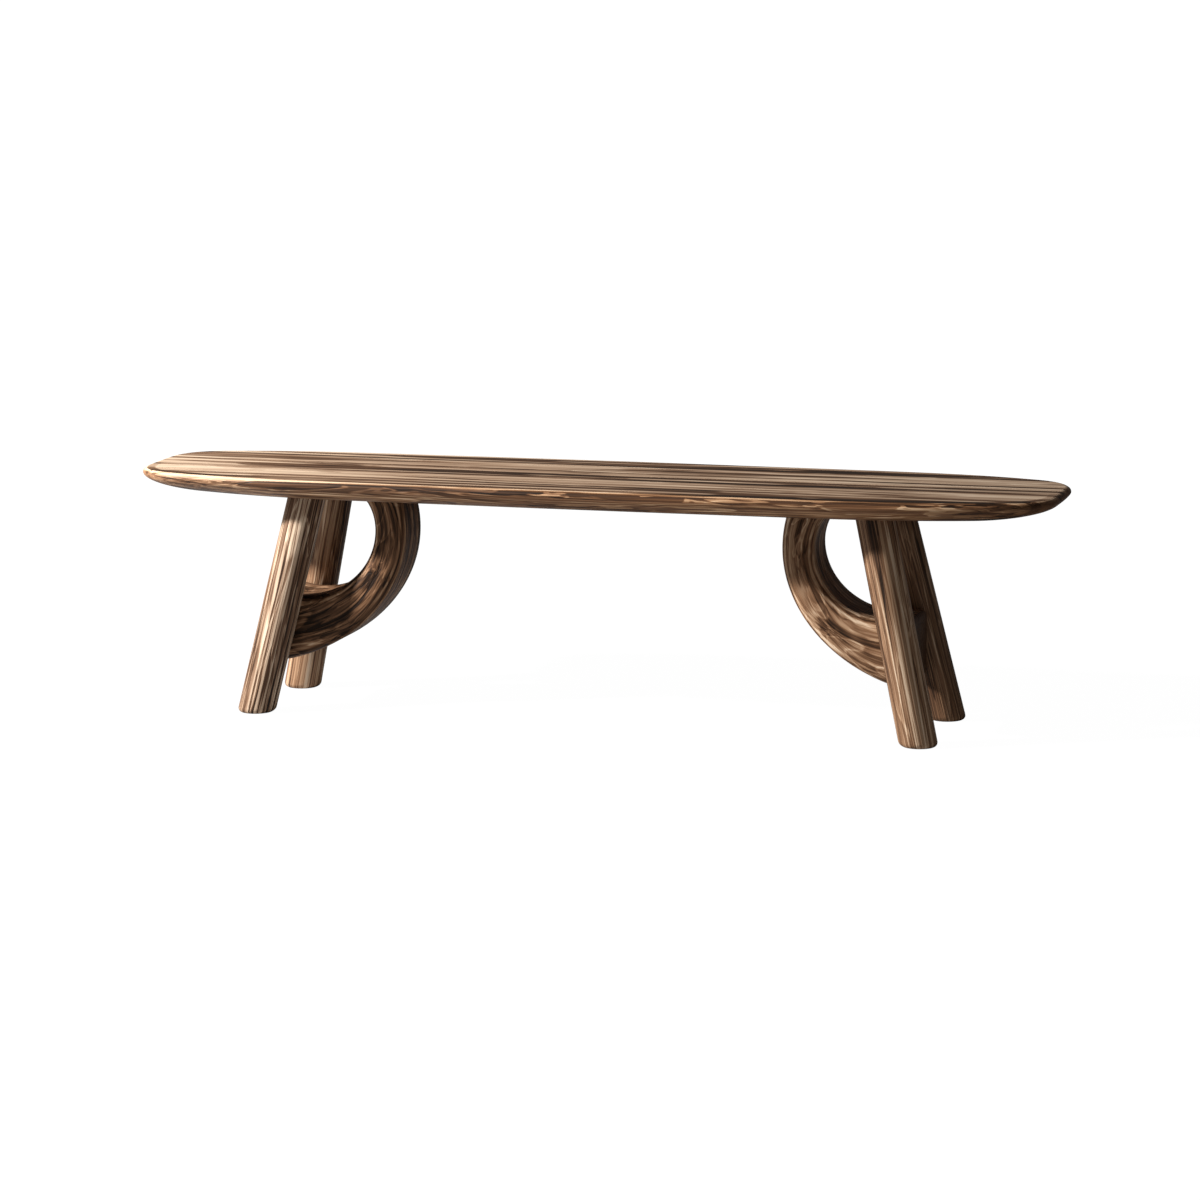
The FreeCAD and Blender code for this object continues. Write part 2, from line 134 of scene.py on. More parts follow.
# The stage
FLOOR_HALF = 60.0
FLOOR_PAINT = 0.4
FLOOR_GLOW = 1.1
LAMP_PLACE = (-3.03, -1.54, 2.06)
LAMP_AIM = (0, 0, 0.25)
LAMP_SIZE = 0.24

# The camera's sensor and clipping, and how far its picture is shifted, as shares of its width
SENSOR = 36.0
CLIP = (0.1, 300.0)
PICTURE_SHIFT = (0.0011, -0.0034)


# Settings

def length(name, description, default):
    return bpy.props.FloatProperty(name=name, description=description, default=default, unit="LENGTH")


def colour(name, description, default):
    return bpy.props.FloatVectorProperty(
        name=name, description=description, default=default, subtype="COLOR", size=3, min=0, max=1)


class SeatSettings(bpy.types.PropertyGroup):
    length: length("Length", "Tip to tip along the bench", cad_high.x - cad_low.x)
    width: length("Width", "Widest part across the seat", cad_high.y - cad_low.y)
    height: length("Height", "Floor to the top face", cad_high.z - cad_low.z)
    thickness: length("Thickness", "Top face to flat underside", 0.046)
    widest_drop: length("Widest drop", "Top face down to the line where the edge stands out most", 0.009)
    top_inset: length("Top inset", "How far the edge curves in up to the top face", 0.011)
    bottom_inset: length("Bottom inset", "How far the edge curves in down to the underside", 0.080)
    end_undercut: length("End undercut", "How much further it curves in at the two ends", 0.085)
    corner_core: length("Corner core", "Plan radius of each corner beyond the bottom inset", 0.020)
    shoulder_radius: length("Shoulder radius", "Plan radius between a corner and the long side", 0.950)
    edge_narrowing: length("Edge narrowing", "How much narrower the two edge boards are", 0.010)
    groove_width: length("Groove width", "Width of the open joint along each seam", 0.0024)
    relief: length("Relief", "Depth of the hand-planed unevenness", 0.0005)


class LegSettings(bpy.types.PropertyGroup):
    diameter: length("Diameter", "Thickness of each round leg", 0.070)
    end_inset: length("End inset", "From the seat's tip to a leg's axis at the underside", 0.330)
    spacing: length("Spacing", "Between the two axes of a pair at the underside", 0.162)
    splay_x: length("Splay along", "How far a foot stands out along the bench", 0.092)
    splay_y: length("Splay across", "How far a foot stands out across the bench", 0.044)
    foot_rounding: length("Foot rounding", "Radius round the foot", 0.010)
    relief: length("Relief", "Depth of the brushed grain", 0.0006)


class BraceSettings(bpy.types.PropertyGroup):
    end_height: length("End height", "Floor to the middle of the end between the legs", 0.153)
    drop: length("Drop", "Upright half axis of the curve", 0.183)
    reach: length("Reach", "Level half axis of the curve", 0.214)
    past_leg: length("Past leg", "How far the end stands past the legs' axes", 0.008)
    top_depth: length("Top depth", "Depth in the curve's plane under the seat", 0.076)
    waist_depth: length("Waist depth", "Depth where the brace is slimmest", 0.060)
    end_depth: length("End depth", "Depth at the end between the legs", 0.134)
    top_width: length("Top width", "Width across the bench under the seat", 0.112)
    end_width: length("End width", "Width across the bench at the end", 0.156)
    edge_radius: length("Edge radius", "Rounding of the four long edges", 0.022)
    end_rounding: length("End rounding", "Rounding round the end face", 0.015)
    relief: length("Relief", "Depth of the brushed grain", 0.0006)


class WoodSettings(bpy.types.PropertyGroup):
    pale: colour("Pale", "Brushed early wood where it catches the light", (0.66, 0.495, 0.350))
    tan: colour("Tan", "Open, sun-coloured streaks", (0.43, 0.272, 0.166))
    brown: colour("Brown", "The main tone", (0.210, 0.110, 0.058))
    umber: colour("Umber", "The darker bands", (0.084, 0.041, 0.021))
    black: colour("Black", "Late wood lines and open seams", (0.017, 0.0095, 0.006))
    # painted sheen: a pale colour mixed into the lighter tones of the seat's top and of the front left leg
    painted_sheen: colour("Painted sheen", "What sun and use mix into the paler wood", (0.68, 0.57, 0.44))
    # painted shade: the colour that the seat's side is taken down to, darker and warmer, as the side looks in
    # shade
    shade_tint: colour("Shade tint", "What the oil takes the side's colour down to", (1.0, 0.89, 0.76))
    groove_depth: length("Groove depth", "Depth of the finest brushed grooves", 0.0009)
    roughness: bpy.props.FloatProperty(
        name="Roughness", description="Sheen of the oiled surface", default=0.5, min=0, max=1)


class StudioSettings(bpy.types.PropertyGroup):
    distance: length("Distance", "From the bench's middle to the camera, level", 7.898)
    eye_height: length("Eye height", "Height of the camera", 1.619)
    aim_height: length("Aim height", "Height of the point that it looks at", 0.225)
    turn: bpy.props.FloatProperty(
        name="Turn", description="Camera's place round the bench, to the right of the front",
        default=math.radians(16.29), subtype="ANGLE")
    roll: bpy.props.FloatProperty(
        name="Roll", description="Camera's roll", default=math.radians(-0.371), subtype="ANGLE")
    lens: bpy.props.FloatProperty(
        name="Lens", description="Focal length", default=130.07, unit="CAMERA")
    key_power: bpy.props.FloatProperty(
        name="Key light", description="Power of the lamp at the front left", default=385.0, unit="POWER")
    sky: bpy.props.FloatProperty(
        name="Sky", description="Strength of the even light from all round", default=0.10, min=0)


SETTINGS = (
    ("bench_seat", SeatSettings),
    ("bench_leg", LegSettings),
    ("bench_brace", BraceSettings),
    ("bench_wood", WoodSettings),
    ("bench_studio", StudioSettings),
)


# Node graphs

class Link:
    """A node's socket that can stand in sums, which add the Math nodes they need."""

    def __init__(self, graph, socket):
        self.graph = graph
        self.socket = socket

    def __add__(self, other):
        return self.graph.math("ADD", self, other)

    def __sub__(self, other):
        return self.graph.math("SUBTRACT", self, other)

    def __rsub__(self, other):
        return self.graph.math("SUBTRACT", other, self)

    def __mul__(self, other):
        return self.graph.math("MULTIPLY", self, other)

    def __truediv__(self, other):
        return self.graph.math("DIVIDE", self, other)

    def __pow__(self, other):
        return self.graph.math("POWER", self, other)

    def __neg__(self):
        return self.graph.math("MULTIPLY", self, -1.0)

    def __abs__(self):
        return self.graph.math("ABSOLUTE", self)

    __radd__ = __add__
    __rmul__ = __mul__


class Graph:
    """One node tree, to which nodes are added."""

    def __init__(self, tree):
        self.tree = tree

    def add(self, kind, settings=None, sockets=None, out=0):
        """A new node of a kind. Its settings are set first, then its sockets get values or links.

        Gives the output that out names, or several of them where out is a tuple.
        """
        node = self.tree.nodes.new(kind)
        for name, value in (settings or {}).items():
            if name == "stops":
                self.set_stops(node.color_ramp, value)
            else:
                setattr(node, name, value)
        for name, value in (sockets or {}).items():
            target = self.find(node.inputs, name)
            if isinstance(value, Link):
                self.tree.links.new(value.socket, target)
            else:
                target.default_value = value
        if isinstance(out, tuple):
            return tuple(Link(self, self.find(node.outputs, name)) for name in out)
        if len(node.outputs) == 0:
            return None
        return Link(self, self.find(node.outputs, out))

    @staticmethod
    def find(sockets, name):
        if isinstance(name, int):
            return sockets[name]
        for socket in sockets:
            if socket.name == name and socket.enabled:
                return socket
        raise ValueError("no socket named %s" % name)

    @staticmethod
    def set_stops(ramp, stops):
        while len(ramp.elements) < len(stops):
            ramp.elements.new(1.0)
        for element, (place, shade) in zip(ramp.elements, stops):
            element.position = place
            element.color = shade

    def math(self, operation, *values):
        return self.add("ShaderNodeMath", {"operation": operation}, dict(enumerate(values)))

    def vector_math(self, operation, *values, out=0):
        return self.add("ShaderNodeVectorMath", {"operation": operation}, dict(enumerate(values)), out)

    def scale(self, vector, factor):
        return self.add("ShaderNodeVectorMath", {"operation": "SCALE"}, {0: vector, "Scale": factor})

    def split(self, vector):
        return self.add("ShaderNodeSeparateXYZ", None, {0: vector}, ("X", "Y", "Z"))

    def join(self, x, y, z):
        return self.add("ShaderNodeCombineXYZ", None, {0: x, 1: y, 2: z})

    def noise(self, vector, scales, detail=2.0, distortion=0.0, out=0):
        """Noise that is stretched by its own scale along each axis, from 0 to 1."""
        stretched = self.vector_math("MULTIPLY", vector, scales)
        return self.add("ShaderNodeTexNoise", {"noise_dimensions": "3D"}, {
            "Vector": stretched, "Scale": 1.0, "Detail": detail, "Distortion": distortion}, out)

    def mix(self, share, first, second):
        """Two colours mixed, with a share of the second."""
        return self.add("ShaderNodeMix", {"data_type": "RGBA"}, {
            "Factor": share, "A": first, "B": second}, "Result")

    def root(self, value):
        """The square root, or 0 below 0."""
        return self.math("SQRT", self.math("MAXIMUM", value, 0.0))

    def band(self, value, low, high):
        """0 below low and 1 above high, with a smooth step between them."""
        return self.add("ShaderNodeMapRange", {"interpolation_type": "SMOOTHSTEP"}, {
            "Value": value, "From Min": low, "From Max": high})

    def attribute(self, name, out="Fac"):
        return self.add("ShaderNodeAttribute", {"attribute_name": name}, out=out)


def shader_graph(owner):
    """The emptied node tree of a material or a world."""
    owner.use_nodes = True
    owner.node_tree.nodes.clear()
    return Graph(owner.node_tree)


# Wood

def wander_off(g, place, scales, amount):
    """Grain coordinates that wander across the grain by up to about half an amount."""
    shift = g.noise(place, scales, 2.0, out="Color")
    shift = g.vector_math("SUBTRACT", shift, (0.5, 0.5, 0.5))
    return g.vector_math("MULTIPLY", shift, (0.0, amount, amount))


def knot(g, place, centre, size):
    """How near a knot is, from 1 in its middle, and how far the grain flows round it."""
    away = g.vector_math("SUBTRACT", place, centre)
    away = g.vector_math("MULTIPLY", away, (0.42 / size, 1.0 / size, 1.0 / size))
    distance = g.vector_math("LENGTH", away, out="Value")
    near = g.math("POWER", 2.718, -(distance * distance) * 0.6)
    return distance, near, g.scale(g.vector_math("NORMALIZE", away), near * size * 0.55)


def wood_material(name, coordinates, look):
    """Dark brushed wood whose grain runs along the first of its coordinates.

    Those are in an attribute, or are the object's own where none is named.
    """
    wood = bpy.context.scene.bench_wood
    material = bpy.data.materials.new(name)
    g = shader_graph(material)
    local = g.add("ShaderNodeTexCoord", out="Object")
    x, y, z = g.split(local)
    place = g.attribute(coordinates, "Vector") if coordinates else local

    # the grain wanders along its length, and flows round the knots
    bent = g.vector_math("ADD", place, wander_off(g, place, (1.7, 7.0, 7.0), look["wander"]))
    bent = g.vector_math("ADD", bent, wander_off(g, place, (11.0, 30.0, 30.0), look["ripple"]))
    knot_tone = 0.0
    for centre, size in look["knots"]:
        distance, near, flow = knot(g, place, centre, size)
        bent = g.vector_math("ADD", bent, flow)
        rings = g.math("SINE", distance * 9.0) * near * 0.12
        knot_tone = rings - g.band(1.0 - distance, 0.3, 0.9) * 0.3 + knot_tone
    # boards show long layers, wider across the face than through the thickness
    bent = g.vector_math("MULTIPLY", bent, (look["stretch"], look["face"], 1.0))

    # bands, streaks and fibres, each finer than the one before
    broad = g.noise(bent, (0.9, look["broad"], look["broad"]), 3.0)
    streak = g.noise(bent, (1.6, 130.0, 130.0), 2.0)
    thread = g.noise(bent, (3.0, 230.0, 230.0), 1.0)
    fibre = g.noise(bent, (14.0, 800.0, 800.0), 2.0)
    patch = g.noise(place, (1.3, 5.0, 5.0), 1.0)
    tone = look["tone"] + (broad - 0.5) * look["broad_depth"] + (patch - 0.5) * look["patch_depth"]
    tone = tone + (g.band(streak, 0.38, 0.62) - 0.5) * look["streak_depth"]
    tone = tone + (g.band(thread, 0.38, 0.62) - 0.5) * look["thread_depth"] + (fibre - 0.5) * 0.22
    tone = tone + g.attribute(TONE)

    # open tan streaks, dark lines that come and go, and finer ones between them
    flame = g.noise(bent, (3.0, 90.0, 90.0), 2.0, 0.4)
    tone = tone + g.band(flame, 0.58, 0.64) * look["flame_depth"]
    contour = g.noise(bent, (0.7, look["lines"], look["lines"]), 2.0, 0.2)
    line = 1.0 - g.band(abs(contour - 0.5), look["line_width"] * 0.7, look["line_width"])
    line = line * g.band(g.noise(bent, (1.3, 11.0, 11.0), 1.0), 0.34, 0.46)
    second = g.noise(bent, (1.4, look["lines"] * 2.6, look["lines"] * 2.6), 2.0, 0.2)
    thin_line = 1.0 - g.band(abs(second - 0.46), 0.010, 0.024)
    thin_light = 1.0 - g.band(abs(second - 0.57), 0.008, 0.020)
    tone = tone - line * look["line_depth"] + (thin_light - thin_line) * look["fine_depth"] + knot_tone

    # wavy figure, pale on one side of each vein and dark on the other
    figure = g.noise(place, look["figure"], 2.0, 1.2)
    vein = 1.0 - g.band(abs(figure - 0.5), 0.008, 0.030)
    shadow = g.band(figure, 0.50, 0.54) * (1.0 - g.band(figure, 0.56, 0.66))
    vein = (vein - shadow * 0.7) * look["vein_depth"]

    roughness = wood.roughness + (0.5 - thread) * 0.2
    relief = streak * 0.5 + thread * 0.5 + fibre * 0.12 - line * 0.8 - thin_line * 0.4
    if look["seam_pitch"]:
        # dark streaks lie beside the seams
        waver = (g.noise(local, (1.9, 7.0, 7.0), 2.0) - 0.5) * 0.012
        to_seam = g.math("FRACT", (y + waver) / look["seam_pitch"] + 8.0) - 0.5
        to_seam = abs(to_seam) * look["seam_pitch"]
        breadth = g.noise(place, (1.8, 12.0, 12.0), 1.0) * 0.015
        seam = 1.0 - g.band(to_seam / breadth, 0.75, 1.0)
        tone = tone - seam * 0.42
        # a dark line runs round the top face, and the rounding beyond it is worn smooth and painted pale as a
        # highlight that narrows and fades towards the right, away from the lamp
        rim = g.attribute(RIM)
        rim = rim + (g.noise(place, (3.0, 12.0, 12.0), 2.0) - 0.5) * 0.3
        side = g.band(rim, 0.55, 0.95)
        inner = g.band(rim, -0.42, -0.28) * (1.0 - g.band(rim, 0.12, 0.20)) * (1.0 - g.band(y, -0.13, 0.0))
        # painted highlight on the rounding, fading to the right; the wear only lowers the roughness
        rightward = g.band(x, -0.55, 0.25)
        wear_and_highlight = g.band(rim, 0.13, 0.20) * (1.0 - g.band(rim + rightward * 0.15, 0.42, 0.62))
        wear_and_highlight = wear_and_highlight * (1.0 - g.band(x, -0.3, 0.3) * 0.7)
        # further right, wavy tan streaks take its place
        wave = g.noise(place, (11.0, 60.0, 110.0), 1.0, 0.8)
        wave = g.band(wave, 0.51, 0.55) * (1.0 - g.band(wave, 0.64, 0.68))
        wave = wave * g.band(rim, 0.45, 0.6) * (1.0 - g.band(rim, 1.0, 1.2))
        wave = wave * g.band(x, -0.3, 0.0) * (1.0 - g.band(x, 0.70, 0.80))
        # painted light along the length: the top is painted paler towards the left end, nearest the lamp, and
        # a little paler over its right half; the side is painted paler at the left end and towards the right
        # end than in its middle
        painted_light_top = 0.20 - g.band(x, -0.85, -0.1) * 0.20 + g.band(x, 0.0, 0.6) * 0.05
        painted_light_side = 0.11 - g.band(x, -0.6, -0.3) * 0.11 + g.band(x, -0.1, 0.3) * 0.12
        tone = tone + painted_light_top * (1.0 - side) + side * (line * 0.2 + painted_light_side)
        # painted shade: the side is painted darker, and darker again towards the underside
        tone = tone - inner * 0.42 + wear_and_highlight * 0.45 + wave * 0.48 - side * 0.22 - g.band(rim, 1.35, 1.8) * 0.08
        vein = vein * side * (1.0 - g.band(abs(x), 0.66, 0.80))
        roughness = roughness - wear_and_highlight * 0.16
    if look["painted_light"]:
        # painted shade: the legs are painted darker close under the seat
        tone = tone - g.band(z, 0.34, 0.40) * 0.09
    tone = tone + vein
    if look["rim"]:
        # painted highlight: a pale line along each rounded long edge of the brace, with a darker line beside
        # it
        rim = g.attribute(RIM)
        edge = g.band(rim, 0.64, 0.72) * (1.0 - g.band(rim, 0.76, 0.84))
        edge = edge * g.band(g.noise(place, (5.0, 20.0, 20.0), 1.0), 0.3, 0.42)
        dark_edge = g.band(rim, 0.80, 0.88) * (1.0 - g.band(rim, 0.92, 0.97))
        tone = tone + edge * look["rim"] - dark_edge * look["rim"] * 0.5
    if look["end_tone"]:
        # end grain is calmer and darker; further darkening towards the right, away from the lamp, is painted
        # shade
        end = g.attribute(END)
        end_grain_and_shade = look["end_tone"] - g.band(x, -0.6, 0.6) * 0.16
        tone = tone + (end_grain_and_shade - tone) * (g.band(end, 0.15, 0.75) * 0.8)
    tone = g.math("MAXIMUM", tone, 0.0)
    shade = g.add("ShaderNodeValToRGB", {"stops": (
        (0.0, (*wood.black, 1)),
        (0.27, (*wood.umber, 1)),
        (0.52, (*wood.brown, 1)),
        (0.78, (*wood.tan, 1)),
        (1.0, (*wood.pale, 1)),
    )}, {0: tone}, "Color")
    if look["seam_pitch"]:
        # painted sheen and painted shade: the paler tones of the top face are mixed towards a pale sheen
        # colour, and the side is painted darker and warmer, as in shade, more so towards the right
        warmth = g.band(rim, 0.1, 0.3) * (0.6 + rightward * 0.4)
        shade = g.mix(g.band(tone, 0.3, 0.8) * (0.24 - warmth * 0.24), shade, (*wood.painted_sheen, 1))
        shade = g.mix(warmth, shade, g.vector_math("MULTIPLY", shade, wood.shade_tint))
    if look["painted_light"]:
        # painted sheen: the paler tones of the leg at the front left, nearest the lamp, are mixed towards the
        # same pale colour
        painted_light = (1.0 - g.band(x, -0.5, -0.3)) * (1.0 - g.band(y, -0.05, 0.05))
        shade = g.mix(g.band(tone, 0.3, 0.8) * painted_light * look["painted_light"], shade, (*wood.painted_sheen, 1))
    bump = g.add("ShaderNodeBump", None, {
        "Strength": look["bump"], "Distance": wood.groove_depth, "Height": relief})
    surface = g.add("ShaderNodeBsdfPrincipled", None, {
        "Base Color": shade, "Roughness": roughness, "Normal": bump,
        "Specular IOR Level": look["shine"]})
    g.add("ShaderNodeOutputMaterial", None, {"Surface": surface})


def make_woods():
    """The four finishes, made once."""
    plain = dict(knots=(), seam_pitch=0.0, painted_light=0.0, rim=0.0, end_tone=0.0)
    knots = [
        (tuple(start + step for start, step in zip(BRACES[number][2], steps)), size)
        for number, steps, size in KNOTS]
    looks = {
        "seat": dict(
            tone=0.62, wander=0.014, ripple=0.002, stretch=0.55, face=0.36, broad=26.0, broad_depth=0.45,
            streak_depth=0.12, thread_depth=0.14, patch_depth=0.22, lines=42.0, line_width=0.045,
            line_depth=0.45, fine_depth=0.26, flame_depth=0.14, figure=(3.6, 24.0, 40.0), vein_depth=0.24,
            seam_pitch=SEAM_PITCH, end_tone=0.54, shine=0.14, bump=0.7),
        "leg": dict(
            tone=0.50, wander=0.010, ripple=0.003, stretch=0.8, face=1.0, broad=30.0, broad_depth=0.42,
            streak_depth=0.14, thread_depth=0.24, patch_depth=0.22, lines=26.0, line_width=0.030,
            line_depth=0.30, fine_depth=0.26, flame_depth=0.16, figure=(2.6, 30.0, 30.0), vein_depth=0.14,
            painted_light=0.42, shine=0.12, bump=0.9),
        "brace": dict(
            tone=0.38, wander=0.034, ripple=0.012, stretch=1.0, face=1.0, broad=22.0, broad_depth=0.36,
            streak_depth=0.14, thread_depth=0.20, patch_depth=0.35, lines=20.0, line_width=0.030,
            line_depth=0.22, fine_depth=0.18, flame_depth=0.16, figure=(6.0, 21.0, 21.0), vein_depth=0.13,
            knots=knots, rim=0.34, end_tone=0.34, shine=0.06, bump=0.9),
        "joinery": dict(
            tone=0.62, wander=0.008, ripple=0.002, stretch=1.0, face=1.0, broad=40.0, broad_depth=0.4,
            streak_depth=0.12, thread_depth=0.16, patch_depth=0.3, lines=30.0, line_width=0.03,
            line_depth=0.2, fine_depth=0.2, flame_depth=0.1, figure=(4.0, 40.0, 40.0), vein_depth=0.0,
            shine=0.15, bump=0.6),
    }
    for part, look in looks.items():
        if part not in bpy.data.materials:
            wood_material(part, None if part == "joinery" else GRAIN, {**plain, **look})


# Finished meshes

def keep_piece(piece, node):
    """Show a finished piece in place of its CAD node."""
    bpy.context.scene.collection.objects.link(piece)
    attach(piece, "root")
    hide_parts(node)


def finish_mesh(mesh, sharp_degrees):
    mesh.shade_smooth()
    mesh.set_sharp_from_angle(angle=math.radians(sharp_degrees))


# The seat

class Outline:
    """The seat's plan: four tangent arcs in each quarter, from the end round to the long side."""

    TURNS = (0.0, 2.5, 73.0, 88.6, 90.0)
    STEPS = (10, 36, 52, 96)

    def __init__(self, seat, undercut=0.0):
        turns = [math.radians(turn) for turn in self.TURNS]
        corner = seat.bottom_inset + seat.corner_core
        shoulder = seat.shoulder_radius
        cosines = [math.cos(turn) for turn in turns]
        sines = [math.sin(turn) for turn in turns]
        along = seat.length / 2 - undercut - corner * (cosines[1] - cosines[2])
        along -= shoulder * (cosines[2] - cosines[3])
        across = seat.width / 2 - corner * (sines[2] - sines[1]) - shoulder * (sines[3] - sines[2])
        spread = (1 - cosines[1]) * (1 - sines[3]) - cosines[3] * sines[1]
        end = (along * (1 - sines[3]) - across * cosines[3]) / spread
        side = (across * (1 - cosines[1]) - along * sines[1]) / spread
        x = seat.length / 2 - undercut
        y = 0.0
        places = []
        headings = []
        for number, radius in enumerate((end, corner, shoulder, side)):
            centre = (x - radius * cosines[number], y - radius * sines[number])
            for step in range(self.STEPS[number]):
                turn = turns[number] + (turns[number + 1] - turns[number]) * step / self.STEPS[number]
                places.append((centre[0] + radius * math.cos(turn), centre[1] + radius * math.sin(turn)))
                headings.append(turn)
            x = centre[0] + radius * cosines[number + 1]
            y = centre[1] + radius * sines[number + 1]
        places.append((0.0, seat.width / 2))
        headings.append(math.pi / 2)
        quarter = np.array(places)
        heading = np.array(headings)
        half = np.vstack([quarter, (quarter * (-1, 1))[-2::-1]])
        half_heading = np.concatenate([heading, (math.pi - heading)[-2::-1]])
        self.places = np.vstack([half[:-1], -half[:-1]])
        around = np.concatenate([half_heading[:-1], half_heading[:-1] + math.pi])
        self.outward = np.stack([np.cos(around), np.sin(around)], 1)

    def ring(self, inset):
        return self.places - self.outward * inset


def edge_curve(last_degrees, stations):
    """Shares in and up, or down, along a quarter ellipse that stops short of level."""
    angles = np.radians(np.linspace(0, last_degrees, stations + 1))
    last = math.radians(last_degrees)
    return (1 - np.cos(angles)) / (1 - math.cos(last)), np.sin(angles) / math.sin(last)


def seat_rings(seat):
    """Rings from the middle of the top, round the edge, to the middle of the underside.

    Each ring is its points, how far each faces along the bench, and their place round the rim,
    which is 0 at the edge of the top face, 1 where the edge stands out most and 2 at the edge of
    the underside.
    """
    outline = Outline(seat)
    widest = seat.height - seat.widest_drop
    under = seat.height - seat.thickness
    spine = outline.ring(0).copy()
    spine_end = seat.length / 2 - seat.width * SPINE_SHARE
    spine[:, 0] = np.clip(spine[:, 0], -spine_end, spine_end)
    spine[:, 1] = 0
    rings = []

    def level(places, height, rim):
        count = len(places)
        faces_end = np.abs(outline.outward[:, 0]) * np.clip(rim, 0, 1)
        return np.column_stack([places, np.full(count, height)]), faces_end, np.broadcast_to(rim, count)

    edge = outline.ring(seat.top_inset)
    for step in range(TOP_RINGS - 1, 0, -1):
        places = edge + (spine - edge) * (step / TOP_RINGS) ** RING_CROWDING
        inside = np.linalg.norm(places - edge, axis=1)
        rings.append(level(places, seat.height, -np.minimum(inside / EDGE_REACH, 1.0)))
    share_in, share_up = edge_curve(RISE_DEGREES, RISE_RINGS)
    for number, (inward, upward) in list(enumerate(zip(share_in, share_up)))[::-1]:
        height = widest + seat.widest_drop * upward
        rings.append(level(outline.ring(seat.top_inset * inward), height, 1 - number / RISE_RINGS))
    share_in, share_down = edge_curve(FALL_DEGREES, FALL_RINGS)
    for number, (inward, downward) in list(enumerate(zip(share_in, share_down)))[1:]:
        height = widest - (widest - under) * downward
        edge = Outline(seat, seat.end_undercut * inward).ring(seat.bottom_inset * inward)
        rings.append(level(edge, height, 1 + number / FALL_RINGS))
    for step in range(1, UNDER_RINGS):
        rings.append(level(edge + (spine - edge) * step / UNDER_RINGS, under, 2.0))
    return rings


def seat_shell(seat):
    """The whole seat as one closed mesh, before it is parted along its seams."""
    rings = seat_rings(seat)
    shell = bmesh.new()
    end_layer = shell.verts.layers.float.new(END)
    rim_layer = shell.verts.layers.float.new(RIM)
    rows = []
    for places, ends, rims in rings:
        row = [shell.verts.new(place) for place in places]
        for vertex, end, rim in zip(row, ends, rims):
            vertex[end_layer] = end
            vertex[rim_layer] = rim
        rows.append(row)
    count = len(rows[0])
    for upper, lower in zip(rows, rows[1:]):
        for number in range(count):
            following = (number + 1) % count
            shell.faces.new((upper[number], lower[number], lower[following], upper[following]))
    for row, order in ((rows[0], 1), (rows[-1], -1)):
        # the innermost ring lies close to the spine and is closed by strips across it
        half = count // 2
        quarter = count // 4
        for number in range(-quarter, half - quarter):
            corners = []
            for place in (number, number + 1, half - number - 1, half - number):
                if row[place % count] not in corners:
                    corners.append(row[place % count])
            if len(corners) > 2:
                shell.faces.new(corners[::order])
    bmesh.ops.recalc_face_normals(shell, faces=shell.faces)
    return shell


def cut_seam(shell, place, seat):
    """Draw a shallow open joint along the top of a seam."""
    half = seat.groove_width / 2
    for shift in (-half, half, 0.0):
        everything = shell.verts[:] + shell.edges[:] + shell.faces[:]
        bmesh.ops.bisect_plane(
            shell, geom=everything, dist=1e-7, plane_co=(0, place + shift, 0), plane_no=(0, 1, 0))
    shell.normal_update()
    widest = seat.height - seat.widest_drop
    for vertex in shell.verts:
        if abs(vertex.co.y - place) < 1e-5 and vertex.co.z > widest - half:
            fade = min(max((vertex.co.z - widest) / seat.widest_drop * 4, 0.0), 1.0)
            vertex.co -= vertex.normal * half * fade


def part_board(shell, low, high):
    """A copy of the shell between two seams, closed along them."""
    board = shell.copy()
    for place, keep in ((low, 1), (high, -1)):
        if place is None:
            continue
        everything = board.verts[:] + board.edges[:] + board.faces[:]
        cut = bmesh.ops.bisect_plane(
            board, geom=everything, dist=1e-6, plane_co=(0, place, 0), plane_no=(0, keep, 0),
            clear_inner=True)["geom_cut"]
        rim = [part for part in cut if isinstance(part, bmesh.types.BMEdge) and part.is_boundary]
        bmesh.ops.contextual_create(board, geom=rim)
    bmesh.ops.triangulate(board, faces=[face for face in board.faces if len(face.verts) > 4])
    bmesh.ops.recalc_face_normals(board, faces=board.faces)
    return board


def roughen_seat(shell, seat):
    """Sink the surface unevenly, as a hand plane leaves it."""
    shell.normal_update()
    for vertex in shell.verts:
        x, y, z = vertex.co
        long_wave = noise.noise(Vector((x * 3.1, y * 34, z * 34)))
        short_wave = noise.noise(Vector((x * 9.3 + 40, y * 85, z * 85)))
        depth = 0.5 + 0.33 * long_wave + 0.17 * short_wave
        vertex.co -= vertex.normal * seat.relief * min(max(depth, 0.0), 1.0)


def store_grain(mesh, shift, tone):
    """Give a mesh its tone and its grain coordinates, which are its places moved into its own wood."""
    places = np.zeros(len(mesh.vertices) * 3, np.float32)
    mesh.vertices.foreach_get("co", places)
    places = places.reshape(-1, 3) + np.array(shift, np.float32)
    mesh.attributes.new(GRAIN, "FLOAT_VECTOR", "POINT").data.foreach_set("vector", places.ravel())
    tones = np.full(len(mesh.vertices), tone, np.float32)
    mesh.attributes.new(TONE, "FLOAT", "POINT").data.foreach_set("value", tones)


